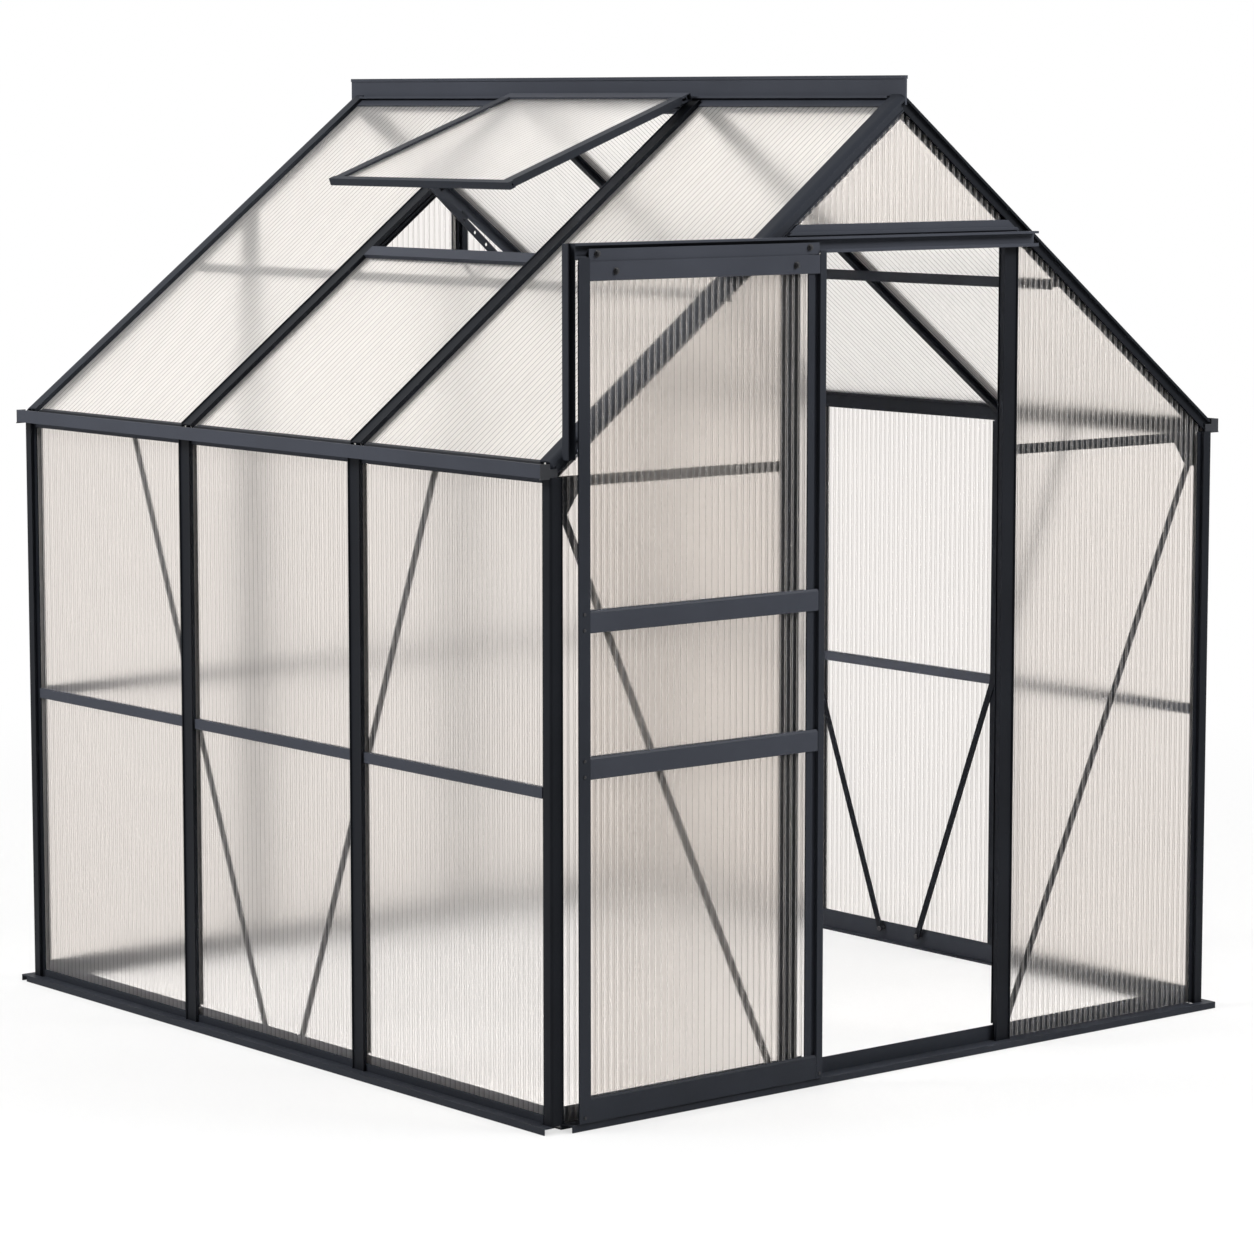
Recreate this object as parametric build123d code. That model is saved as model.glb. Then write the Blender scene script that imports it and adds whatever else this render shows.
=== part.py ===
from build123d import *
import math
import os

os.makedirs("parts", exist_ok=True)

# A small aluminium greenhouse glazed with twin-wall sheets, with a hung sliding door and a roof vent.
# Millimetres, +Z up. The door faces -Y and the origin is the middle of the base.

# Overall sizes
frame_width = 1840
frame_length = 1900
eave_height = 1306
roof_pitch = 37.4
stud_pitch = 616
door_post_pitch = 608
mid_rail_height = 666

# Sheets, and the fits round them
sheet_thickness = 6
sheet_setback = 10
sheet_clearance = 0.3
sheet_edge_gap = 2
seat_gap = 0.3

# Glazing bar: a lipped cap outside, a seat behind the sheets and a foot inside
bar_width = 40
bar_depth = 30
bar_wall = 2
bar_lip_width = 3
bar_lip_height = 2.5
bar_web = 3
bar_seat = 28
bar_foot = 16

# Corner post: a raised block at the corner and lips set back from it
post_leg = 36
post_wall = 3
post_block = 25
post_lip_setback = 8
post_radius = 6

# Base sill
sill_lip = 20
sill_height = 14
sill_plate = 3
sill_wall = 2.5
sill_outer_flange = 16
sill_inner_flange = 32
anchor_radius = 4.5
anchor_inset = 27
anchor_pitch = 1200

# Gutter
gutter_out = 22
gutter_in = 19
gutter_height = 27
gutter_wall = 2.5
gutter_lip = 6
gutter_leg = 12
gutter_end_gap = 5
cap_thickness = 3
cap_flare = 2
cap_drop = 3

# Gable rafter: a nosed cap over the roof sheets, a box set back under it and two lips round the gable sheets
rafter_width = 22
rafter_depth = 20
rafter_wall = 2.5
rafter_cap = 40
rafter_cap_leg = 2
rafter_seat = 34
rafter_front_lip = 9
rafter_back_lip = 21
rafter_nose = 16
rafter_nose_drop = 6
rafter_nose_face = 5
rafter_bead = 2
rafter_bead_height = 3
rafter_end_gap = 6

# Roof bars, roof sheets with a strip along their lower ends, and purlins
roof_bar_start = 22
roof_sheet_start = 20
roof_end_gap = 8
roof_sheet_gap = 15
strip_thickness = 2.5
strip_rise = 2
purlin_distance = 600
purlin_width = 28
purlin_depth = 26
purlin_wall = 2

# Ridge
ridge_height = 44
ridge_drop = 8.4
ridge_wall = 2.5
ridge_lip = 2
ridge_lip_height = 7
ridge_hook = 31
ridge_hook_lip = 2
ridge_hook_drop = 1.8
ridge_hook_plate = 3
ridge_web = 5
ridge_web_drop = 44
ridge_end_drop = 24
ridge_flange = 34
ridge_back_overhang = 8

# Tie over the door and the middle rails of the walls
tie_drop = 15.8
tie_height = 24
tie_wall = 2.5
tie_groove = 12
tie_nose = 6
tie_nose_height = 6
tie_nose_rise = 3
rail_height = 22
rail_web = 3
rail_front = 3.7
rail_back = 2.5

# Bracing inside the walls
cross_bar_height = 21
cross_bar_thickness = 2.5
gusset_thickness = 3
gusset_width = 74
gusset_height = 74
gusset_foot = 38
brace_width = 16
brace_thickness = 3
front_brace_top = (45, 90)
front_brace_foot = (27, 36)
side_brace_top = 547
side_brace_foot = 64
side_brace_foot_height = 30
bolt_radius = 3
bolt_hole_radius = 3.3
bolt_collar_radius = 5
bolt_head_radius = 5.5
bolt_head_height = 4
bolt_washer_radius = 7
bolt_washer = 1.2
bolt_end = 2

# Door track and its end strut
track_depth = 17.5
track_height = 32
track_wall = 2.5
track_top_lip = 5
track_upstand = 7
track_overhang = 48
strut_inset = 28.5
strut_width = 19
strut_wall = 2
strut_foot = 6

# Sliding door
door_width = 634.5
door_depth = 20
door_standoff = 5
door_side_gap = 2
door_floor_gap = 2
door_top_gap = 3
door_sheet_setback = 7
door_wall = 2
stile_left_width = 28
stile_left_web = 16
stile_left_edge = 3.5
stile_left_radius = 5
stile_right_lip = 16
stile_right_channel = 28
stile_right_width = 45
stile_right_back = 37
stile_channel_depth = 9
stile_tongue = 8
stile_plate = 3
door_plate = 3
door_plate_bevel = 5
door_rail_back = 2
door_rail_web = 3
door_top_rail = 37
door_top_web = 11
top_rail_edge = 1.2
top_rail_rebate = 6
door_bottom_rail = 50
door_bottom_web = 30
door_mid_rail = 44
door_mid_rail_heights = (714, 999)
hanger_height = 24
glide_length = 60
glide_width = 12
glide_clearance = 0.3
wheel_radius = 8.8
wheel_width = 8.5
wheel_clearance = 0.2
axle_radius = 2.5
axle_clearance = 0.05
axle_collar_radius = 4
axle_inset_left = 48.5
axle_inset_right = 42
rail_bolt_inset_left = 92.5
rail_bolt_inset_right = 80
rail_bolt_height = 18
screw_radius = 3.2
screw_height = 1.6
screw_inset = 13.5
screw_spread = 31
screw_foot = 11

# Roof vent, drawn shut and then turned to its open rest position
vent_angle = 17
vent_bead_radius = 3
vent_bead_clearance = 0.2
vent_neck = 2
vent_lift = 0.5
vent_depth = 16
vent_wall = 2
vent_sheet_setback = 5
vent_groove = 12
vent_hinge_start = 30
vent_hinge_width = 26
vent_stile_width = 28
vent_overlap = 4
vent_length = 545
vent_bottom_width = 15
vent_bottom_groove = 8
vent_bottom_overhang = 6
vent_sill_width = 30
vent_sill_web = 7

# Vent stay, its bracket under the vent and its peg on the vent sill
stay_length = 270
stay_width = 16
stay_thickness = 4
stay_tilt = -11.6
stay_hole_radius = 4
stay_hole_pitch = 40
stay_pivot_inset = 18
stay_pivot_depth = 8
stay_pin_radius = 2.5
bracket_ear = 2.7
bracket_radius = 6
bracket_width = 18
bracket_gap = 0.5
peg_depth = 88
peg_radius = 3
peg_tab = 3
peg_tab_offset = 10
peg_tab_width = 14
peg_tip_gap = 0.5

# Sizes that follow from those above
pitch = math.radians(roof_pitch)
run = math.cos(pitch)
rise = math.sin(pitch)
half_width = frame_width / 2
half_length = frame_length / 2
apex = eave_height + half_width * math.tan(pitch)
groove_front = sheet_setback - sheet_clearance
groove_back = sheet_setback + sheet_thickness + sheet_clearance
post_core = groove_back + post_wall
stud = stud_pitch / 2
door_post = door_post_pitch / 2
gutter_floor = eave_height - gutter_height
rafter_reach = rafter_depth + rafter_back_lip
rafter_front_reach = rafter_depth + rafter_front_lip
notch_face = groove_front - sill_wall - seat_gap
sheet_foot = sill_height + sheet_edge_gap
bar_sheet_gap = bar_web / 2 + sheet_edge_gap
post_sheet_gap = post_core + sheet_edge_gap

# Directions in which an outline is drawn and drawn out: standing, along a wall and into a wall
STANDING = Plane.XY
ALONG = Plane.YZ
INTO = Plane.XZ


def prism(plane, points, start, end):
    """Solid of a closed outline on a plane, between two distances along the plane's normal."""
    outline = make_face(Polyline(*points, close=True))
    return extrude(plane.offset(start) * outline, end - start)


def block(x, y, z):
    """Box between the two ends of each range."""
    corner = Pos(x[0], y[0], z[0])
    return corner * Box(x[1] - x[0], y[1] - y[0], z[1] - z[0], align=(Align.MIN,) * 3)


def rod(plane, centre, radius, start, end):
    """Round bar square to a plane, between two distances along its normal."""
    return extrude(plane.offset(start) * Pos(*centre) * Circle(radius), end - start)


def both_halves(points):
    """Closed outline from its right half."""
    return points + [(-x, y) for x, y in reversed(points)]


def rectangle(x, y):
    """Corners of a rectangle between the two ends of each range."""
    return [(x[0], y[0]), (x[1], y[0]), (x[1], y[1]), (x[0], y[1])]


def save(name, *pieces):
    """Write the solids of one sub-part."""
    solids = [solid for piece in pieces for solid in piece.solids()]
    export_step(Compound(solids), f"parts/{name}.step")


def wall_frame(origin, along):
    """Frame of a wall: X along it, Y out of its outside face, Z up."""
    return Plane(origin=origin, x_dir=along, z_dir=(0, 0, 1)).location


def slope_frame(side):
    """Frame of a roof slope: X along the ridge, Y out of the roof, Z down the slope from the apex."""
    return Plane(origin=(0, 0, apex), x_dir=(0, side, 0), z_dir=(side * run, 0, -rise)).location


left_wall = wall_frame((-half_width, 0, 0), (0, 1, 0))
right_wall = wall_frame((half_width, 0, 0), (0, -1, 0))
front_wall = wall_frame((0, -half_length, 0), (-1, 0, 0))
back_wall = wall_frame((0, half_length, 0), (1, 0, 0))
side_walls = (left_wall, right_wall)
left_slope = slope_frame(-1)
right_slope = slope_frame(1)


def roof_height(x, depth=0):
    """Height of the roof plane at a place x, lowered by a depth square to the roof."""
    return apex - abs(x) * math.tan(pitch) - depth / run


def above_roof(depth, across=(-frame_length, frame_length)):
    """All that lies above the roof planes lowered by a depth, over a range across the wall."""
    reach = frame_width
    sky = apex + frame_width
    edge = roof_height(reach, depth)
    points = [(-reach, edge), (0, roof_height(0, depth)), (reach, edge), (reach, sky), (-reach, sky)]
    return prism(INTO, points, -across[1], -across[0])


def under_rafter(piece, gap):
    """Cut a gable piece to the lips of the rafters, of which the inner one is deeper."""
    behind = (-bar_depth, -groove_front)
    return piece - above_roof(rafter_front_reach + gap) - above_roof(rafter_reach + gap, behind)


# Glazing bar
def bar_outline(centre):
    half = bar_width / 2
    cap = bar_lip_height + bar_wall
    seat = groove_back + bar_wall
    right = [
        (half - bar_lip_width, -bar_lip_height),
        (half - bar_lip_width, 0),
        (half, 0),
        (half, -groove_front),
        (half - bar_wall, -groove_front),
        (half - bar_wall, -cap),
        (bar_web / 2, -cap),
        (bar_web / 2, -groove_back),
        (bar_seat / 2, -groove_back),
        (bar_seat / 2, -seat),
        (bar_web / 2, -seat),
        (bar_web / 2, bar_wall - bar_depth),
        (bar_foot / 2, bar_wall - bar_depth),
        (bar_foot / 2, -bar_depth),
    ]
    return [(centre + x, y) for x, y in both_halves(right)]


def behind_cap(centre, low, high):
    """Space cut from a bar where only its cap passes over another piece."""
    half = bar_width / 2
    return block((centre - half, centre + half), (-bar_depth, -notch_face), (low, high))


# Base sills
def sill(has_outer_flange, reach, lip_ends):
    plate = sill_height - sill_plate
    outer = sill_height + sill_outer_flange
    inner = sill_height + sill_inner_flange
    lip_inside = sill_lip - sill_wall
    flange = [
        (sill_wall - groove_front, sill_height),
        (sill_wall - groove_front, outer),
        (-groove_front, outer),
        (-groove_front, sill_height),
    ]
    body = [
        (sill_lip, 0),
        (sill_lip, sill_height),
        *(flange if has_outer_flange else []),
        (-groove_back, sill_height),
        (-groove_back, inner),
        (-groove_back - sill_wall, inner),
        (-groove_back - sill_wall, sill_plate),
        (-post_leg, sill_plate),
        (-post_leg, 0),
        (-groove_back, 0),
        (-groove_back, plate),
        (lip_inside, plate),
        (lip_inside, 0),
    ]
    lip = [
        (sill_lip, 0),
        (sill_lip, sill_height),
        (0, sill_height),
        (0, plate),
        (lip_inside, plate),
        (lip_inside, 0),
    ]
    return prism(ALONG, body, -reach, reach) + prism(ALONG, lip, *lip_ends)


def side_sill():
    whole = sill(True, half_length - post_leg, (-half_length, half_length))
    for u in (-anchor_pitch / 2, anchor_pitch / 2):
        whole -= rod(STANDING, (u, -anchor_inset), anchor_radius, -sill_plate, 2 * sill_plate)
    return whole


def gable_sill(has_outer_flange):
    lip_ends = (-half_width - sill_lip, half_width - post_leg)
    return sill(has_outer_flange, half_width - post_leg, lip_ends)


# Corner posts, drawn at the front left corner with two grooves for the sheets
def turned_over(points):
    """Points mirrored about the corner's diagonal, in backward order."""
    return [(y, x) for x, y in reversed(points)]


def corner_post():
    leg = post_leg
    wall = post_wall
    core = post_core
    half = [
        (0, 0),
        (post_block, 0),
        (post_block, post_lip_setback),
        (leg, post_lip_setback),
        (leg, groove_front),
        (core, groove_front),
        (core, groove_back),
        (leg, groove_back),
        (leg, core),
    ]
    arm = groove_front - wall
    half_hollow = [(wall, wall), (post_block - wall, wall), (post_block - wall, arm), (core - wall, arm)]
    outline = half + [(core, core)] + turned_over(half[1:])
    hollow = half_hollow + [(core - wall, core - wall)] + turned_over(half_hollow[1:])
    post = prism(STANDING, outline, sill_height, gutter_floor)
    post -= prism(STANDING, hollow, sill_height, gutter_floor)
    outside_edge = post.edges().filter_by(Axis.Z).sort_by_distance((0, 0, gutter_floor / 2))[0]
    return Pos(-half_width, -half_length, 0) * fillet(outside_edge, post_radius)


# Wall studs and door posts
def side_stud(u):
    low = sill_height + sill_inner_flange + seat_gap
    high = gutter_floor - gutter_leg - seat_gap
    whole = prism(STANDING, bar_outline(u), sill_height, gutter_floor)
    return whole - behind_cap(u, sill_height, low) - behind_cap(u, high, gutter_floor)


def gable_stud(u, top):
    low = sill_height + sill_inner_flange + seat_gap
    whole = prism(STANDING, bar_outline(u), sill_height, top)
    return under_rafter(whole - behind_cap(u, sill_height, low), 0)


# Middle rails, with a sheet above and below
def mid_rail(start, end):
    high = rail_height / 2
    web = rail_web / 2
    upper = [
        (rail_front - groove_front, high),
        (-groove_front, high),
        (-groove_front, web),
        (-groove_back, web),
        (-groove_back, high),
        (-groove_back - rail_back, high),
    ]
    whole = upper + [(v, -z) for v, z in reversed(upper)]
    return prism(ALONG, [(v, mid_rail_height + z) for v, z in whole], start, end)


def rail_spans(centres, wall_half):
    """Clear spans along a wall between the faces of its posts and bars."""
    half = bar_width / 2
    starts = [post_leg - wall_half] + [u + half for u in centres]
    ends = [u - half for u in centres] + [wall_half - post_leg]
    return list(zip(starts, ends))


def sheet_spans(centres, wall_half):
    """Widths along a wall of the sheets between its posts and bars."""
    starts = [post_sheet_gap - wall_half] + [u + bar_sheet_gap for u in centres]
    ends = [u - bar_sheet_gap for u in centres] + [wall_half - post_sheet_gap]
    return list(zip(starts, ends))


def sheet(span, heights):
    return block(span, (-sheet_setback - sheet_thickness, -sheet_setback), heights)


rail_sheet_gap = rail_web / 2 + sheet_edge_gap
lower_sheet = (sheet_foot, mid_rail_height - rail_sheet_gap)
side_upper_sheet = (mid_rail_height + rail_sheet_gap, gutter_floor - sheet_edge_gap)
gable_upper_sheet = (mid_rail_height + rail_sheet_gap, apex)
tie_foot = roof_height(door_post - bar_width / 2, rafter_reach) - tie_drop
tie_top = tie_foot + tie_height
tie_groove_floor = tie_top - tie_groove


def side_sheets():
    spans = sheet_spans((-stud, stud), half_length)
    return [sheet(span, heights) for span in spans for heights in (lower_sheet, side_upper_sheet)]


def gable_triangle():
    reach = door_post + bar_web / 2
    whole = sheet((-reach, reach), (tie_groove_floor + sheet_edge_gap, apex))
    return whole - above_roof(rafter_depth + sheet_edge_gap)


def back_sheets():
    spans = sheet_spans((-door_post, door_post), half_width)
    under_roof = above_roof(rafter_depth + sheet_edge_gap)
    lower = [sheet(span, lower_sheet) for span in spans]
    upper = [sheet(span, gable_upper_sheet) - under_roof for span in spans]
    return lower + upper


def front_sheets():
    left, doorway, right = sheet_spans((-door_post, door_post), half_width)
    under_roof = above_roof(rafter_depth + sheet_edge_gap)
    return [sheet(span, (sheet_foot, apex)) - under_roof for span in (left, right)] + [gable_triangle()]


# Tie over the door, with a groove above for the triangle
def gable_tie():
    inner = groove_back + tie_wall
    outer = groove_front - tie_wall
    nose_foot = tie_foot + tie_nose_rise
    nose_top = nose_foot + tie_nose_height
    outline = [
        (0, tie_foot),
        (0, nose_foot),
        (tie_nose, nose_foot),
        (tie_nose, nose_top),
        (0, nose_top),
        (0, tie_top),
        (-groove_front, tie_top),
        (-groove_front, tie_groove_floor),
        (-groove_back, tie_groove_floor),
        (-groove_back, tie_top),
        (-inner, tie_top),
        (-inner, tie_foot),
    ]
    hollow = [
        (-tie_wall, tie_foot + tie_wall),
        (-tie_wall, tie_top - tie_wall),
        (-outer, tie_top - tie_wall),
        (-outer, tie_groove_floor - tie_wall),
        (-groove_back, tie_groove_floor - tie_wall),
        (-groove_back, tie_foot + tie_wall),
    ]
    reach = half_width
    whole = prism(ALONG, outline, -reach, reach) - prism(ALONG, hollow, -reach, reach)
    return under_rafter(whole, seat_gap)


# Gutters and the caps on their ends
gutter_inner_top = roof_height(half_width - gutter_in + gutter_wall, groove_back)


def gutter():
    wall = gutter_wall
    inside = gutter_floor + wall
    trough = [
        (gutter_out, eave_height),
        (gutter_out, gutter_floor),
        (-gutter_in, gutter_floor),
        (-gutter_in, gutter_inner_top),
        (wall - gutter_in, gutter_inner_top),
        (wall - gutter_in, inside),
        (gutter_out - wall, inside),
        (gutter_out - wall, eave_height - wall),
        (gutter_out - gutter_lip, eave_height - wall),
        (gutter_out - gutter_lip, eave_height),
    ]
    leg_heights = (gutter_floor - gutter_leg, gutter_floor)
    reach = half_length - gutter_end_gap
    clear = half_length - post_leg
    whole = prism(ALONG, trough, -reach, reach)
    for inner_face in (-groove_front, -groove_back - sill_wall):
        leg = rectangle((inner_face, inner_face + sill_wall), leg_heights)
        whole += prism(ALONG, leg, -clear, clear)
    return whole


def gutter_caps():
    low = gutter_inner_top - cap_drop
    outline = [
        (-gutter_in, gutter_floor),
        (-gutter_in, low),
        (0, low),
        (0, eave_height),
        (gutter_out, eave_height),
        (gutter_out, gutter_floor),
        (gutter_out + cap_flare, gutter_floor - cap_drop),
        (seat_gap, gutter_floor - cap_drop),
        (seat_gap, gutter_floor),
    ]
    reach = half_length - gutter_end_gap
    ends = ((-reach - cap_thickness, -reach), (reach, reach + cap_thickness))
    return [prism(ALONG, outline, *end) for end in ends]


# Gable rafter, drawn at the front left and cut to its neighbours
def gable_rafter():
    front = groove_front - rafter_wall
    back = groove_back + rafter_wall
    seat = groove_back + rafter_wall
    bead = front - rafter_bead
    bead_top = rafter_bead_height - rafter_front_reach
    nose_foot = rafter_nose_drop + rafter_nose_face
    outline = [
        (0, 0),
        (rafter_cap, 0),
        (rafter_cap, -groove_front),
        (rafter_cap - rafter_cap_leg, -groove_front),
        (rafter_cap - rafter_cap_leg, -rafter_wall),
        (rafter_width, -rafter_wall),
        (rafter_width, -groove_back),
        (rafter_seat, -groove_back),
        (rafter_seat, -seat),
        (rafter_width, -seat),
        (rafter_width, -rafter_depth),
        (back, -rafter_depth),
        (back, -rafter_reach),
        (groove_back, -rafter_reach),
        (groove_back, -rafter_depth),
        (groove_front, -rafter_depth),
        (groove_front, -rafter_front_reach),
        (bead, -rafter_front_reach),
        (bead, bead_top),
        (front, bead_top),
        (front, -nose_foot),
        (0, -nose_foot),
    ]
    hollow = rectangle(
        (front + rafter_wall, rafter_width - rafter_wall),
        (rafter_wall - rafter_depth, -rafter_wall),
    )
    corner = rectangle((0, rafter_nose), (-rafter_nose_drop, 0))
    radius = (rafter_nose**2 + rafter_nose_drop**2) / (2 * rafter_nose_drop)
    start = -2 * rafter_reach
    end = half_width / run + 2 * rafter_reach
    depth = [[(half_length - d, n) for d, n in points] for points in (outline, hollow, corner)]
    whole = prism(STANDING, depth[0], start, end) - prism(STANDING, depth[1], start, end)
    nose = rod(STANDING, (half_length - rafter_nose, -radius), radius, start, end)
    whole -= prism(STANDING, depth[2], start, end) - nose
    whole = left_slope * whole
    past_ridge = ridge_web / 2 + seat_gap
    under_ridge = apex - ridge_end_drop - seat_gap
    outer_end = half_width - rafter_end_gap
    over_post = half_width - post_leg - seat_gap
    over_gutter = half_width - gutter_in - seat_gap
    length = (-frame_length, 0)
    sky = apex + frame_width
    whole -= block((-past_ridge, frame_width), length, (under_ridge, sky))
    whole -= block((-seat_gap / 2, frame_width), length, (0, sky))
    whole -= block((-frame_width, -outer_end), length, (0, sky))
    whole -= block((-frame_width, -over_post), length, (0, gutter_floor + seat_gap))
    whole -= block((-frame_width, -over_gutter), length, (0, gutter_inner_top + cap_drop / 2))
    return whole


# Roof bars, sheets, purlins and the sill under the vent, in the frame of a slope
eave_reach = half_width / run + bar_depth


def trim_at_eave(piece, slope, gap):
    """Place a piece on its slope and cut it upright over the gutters, a gap short of the walls."""
    limit = half_width - gap
    length = (-frame_length, frame_length)
    heights = (0, apex + frame_width)
    placed = slope * piece
    for span in ((-frame_width, -limit), (limit, frame_width)):
        placed -= block(span, length, heights)
    return placed


def roof_bar(e, slope):
    whole = prism(STANDING, bar_outline(e), roof_bar_start, eave_reach)
    whole -= behind_cap(e, 0, ridge_flange + seat_gap)
    placed = trim_at_eave(whole, slope, roof_end_gap)
    over_gutter = half_width - gutter_in - seat_gap
    below = (0, gutter_inner_top + seat_gap)
    for span in ((-frame_width, -over_gutter), (over_gutter, frame_width)):
        placed -= block(span, (-frame_length, frame_length), below)
    return placed


def roof_sheets(slope, has_vent):
    edge = half_length - rafter_width - sheet_edge_gap
    inner = stud - bar_sheet_gap
    outer = stud + bar_sheet_gap
    under_vent = vent_length + vent_sill_web + sheet_edge_gap
    starts = (roof_sheet_start, under_vent if has_vent else roof_sheet_start, roof_sheet_start)
    spans = ((-edge, -outer), (-inner, inner), (outer, edge))
    pieces = [sheet(span, (s, eave_reach)) for span, s in zip(spans, starts)]
    return [trim_at_eave(piece, slope, roof_sheet_gap) for piece in pieces]


def eave_strips():
    """Strips that close the lower ends of the roof sheets, in the frame of a wall."""
    face = half_width - roof_sheet_gap
    depth = (-roof_sheet_gap, strip_thickness - roof_sheet_gap)
    low = roof_height(face, sheet_setback + sheet_thickness)
    high = roof_height(face, sheet_setback) + strip_rise
    inner = stud - bar_width / 2 - seat_gap
    outer = stud + bar_width / 2 + seat_gap
    edge = half_length - rafter_cap - seat_gap
    return [block(span, depth, (low, high)) for span in ((-edge, -outer), (-inner, inner), (outer, edge))]


def purlin():
    top = -bar_depth
    start = purlin_distance
    outline = [
        (top, start),
        (top, start + purlin_width),
        (top - purlin_wall, start + purlin_width),
        (top - purlin_wall, start + purlin_wall),
        (top - purlin_depth, start + purlin_wall),
        (top - purlin_depth, start),
    ]
    reach = half_length - rafter_width - seat_gap
    return prism(ALONG, outline, -reach, reach)


def vent_sill():
    end = vent_length + vent_sill_width
    web = vent_length + vent_sill_web
    seat = groove_back + bar_wall
    outline = [
        (0, vent_length),
        (0, end),
        (-groove_front, end),
        (-groove_front, web),
        (-groove_back, web),
        (-groove_back, end),
        (-seat, end),
        (-seat, vent_length),
    ]
    reach = stud - bar_width / 2
    return prism(ALONG, outline, -reach, reach)


# Ridge: a lipped upright, a hooked channel each side for vents, and two flanges on each slope
ridge_foot = apex - ridge_drop
ridge_top = ridge_foot + ridge_height


def ridge(y_start, y_end):
    half = ridge_web / 2
    hook = ridge_hook / 2
    hook_inside = hook - ridge_hook_lip
    hook_foot = ridge_foot - ridge_hook_drop
    lip_foot = ridge_top - ridge_lip_height
    upright = [
        (half + ridge_lip, ridge_top),
        (half + ridge_lip, lip_foot),
        (half, lip_foot),
        (half, apex - ridge_end_drop),
    ]
    channel = [
        (hook, ridge_foot + ridge_hook_plate),
        (hook, hook_foot),
        (hook_inside, hook_foot),
        (hook_inside, ridge_foot),
        (half, ridge_foot),
        (half, apex - ridge_web_drop),
    ]
    clear = half_length - rafter_cap
    inside = (-min(y_end, clear), -max(y_start, -clear))
    whole = prism(INTO, both_halves(upright), -y_end, -y_start) + prism(INTO, both_halves(channel), *inside)
    for depths in ((groove_front - ridge_wall, groove_front), (groove_back, groove_back + ridge_wall)):
        for side in (-1, 1):
            whole += prism(INTO, ridge_flange_outline(side, *depths), *inside)
    return whole


def ridge_flange_outline(side, upper, lower):
    root = ridge_web / 4
    ends = [(ridge_flange * run - n * rise, apex - ridge_flange * rise - n * run) for n in (upper, lower)]
    points = [(root, roof_height(root, upper)), ends[0], ends[1], (root, roof_height(root, lower))]
    return [(side * x, z) for x, z in points]


# Bracing inside the walls
def flat_bar(start, end, depth):
    """Brace between two bolt centres in the plane of a wall, with a bolt hole at each end."""
    length = math.dist(start, end)
    turn = math.degrees(math.atan2(end[1] - start[1], end[0] - start[0]))
    middle = ((start[0] + end[0]) / 2, (start[1] + end[1]) / 2)
    shape = Pos(*middle) * SlotCenterToCenter(length, brace_width, rotation=turn)
    for place in (start, end):
        shape -= Pos(*place) * Circle(bolt_hole_radius)
    return extrude(INTO.offset(depth) * shape, brace_thickness)


def bolt(place, start, head):
    """Bolt from the depth where it starts to a head on the inside of a brace."""
    shape = Pos(*place) * RegularPolygon(bolt_head_radius, 6)
    shank = rod(INTO, place, bolt_radius, start, head)
    return shank + extrude(INTO.offset(head) * shape, bolt_head_height)


def brace_bolt(place, seat_depth, brace_depth):
    """Bolt with a collar between the flange it is screwed to and the brace."""
    collar = rod(INTO, place, bolt_collar_radius, seat_depth, brace_depth)
    return collar + bolt(place, seat_depth, brace_depth + brace_thickness)


cross_depth = post_core
gusset_depth = cross_depth + cross_bar_thickness
front_brace_depth = gusset_depth + gusset_thickness
cross_bar_end = half_width - post_core - seat_gap
cross_bar_foot = gutter_floor - cross_bar_height


def cross_bar(side):
    span = sorted((side * (door_post + bar_web / 2 + seat_gap), side * cross_bar_end))
    return block(span, (-gusset_depth, -cross_depth), (cross_bar_foot, gutter_floor))


def gusset(side):
    inner = cross_bar_end - gusset_width
    foot = gutter_floor - gusset_height
    place = front_brace_ends(side)[0]
    outline = [
        (cross_bar_end, gutter_floor),
        (inner, gutter_floor),
        (inner, cross_bar_foot),
        (cross_bar_end - gusset_foot, foot),
        (cross_bar_end, foot),
    ]
    plate = prism(INTO, [(side * u, z) for u, z in outline], gusset_depth, front_brace_depth)
    return plate - rod(INTO, place, bolt_hole_radius, gusset_depth, front_brace_depth)


def front_brace_ends(side):
    top = (side * (half_width - front_brace_top[0]), eave_height - front_brace_top[1])
    foot = (side * (door_post + front_brace_foot[0]), front_brace_foot[1])
    return top, foot


def side_brace_ends(side):
    top = (side * side_brace_top, gutter_floor - gutter_leg / 2)
    foot = (side * side_brace_foot, side_brace_foot_height)
    return top, foot


def front_bracing():
    """Front braces and the bolts at their two ends."""
    braces = []
    bolts = []
    for side in (-1, 1):
        top, foot = front_brace_ends(side)
        braces.append(flat_bar(top, foot, front_brace_depth))
        bolts.append(brace_bolt(foot, groove_back + sill_wall, front_brace_depth))
        bolts.append(bolt(top, gusset_depth, front_brace_depth + brace_thickness))
    return braces, bolts


def side_bracing():
    """Side braces, which lie on the feet of the studs, and their bolts."""
    braces = []
    bolts = []
    seat = groove_back + sill_wall
    for side in (-1, 1):
        top, foot = side_brace_ends(side)
        braces.append(flat_bar(top, foot, bar_depth))
        bolts += [brace_bolt(place, seat, bar_depth) for place in (top, foot)]
    return braces, bolts


# Door track and the strut at its open end, a channel that opens to the front
door_left = strut_inset + strut_width + door_side_gap - half_width
door_right = door_left + door_width
track_top = tie_foot
track_foot = track_top - track_height
strut_left = strut_inset - half_width


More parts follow.
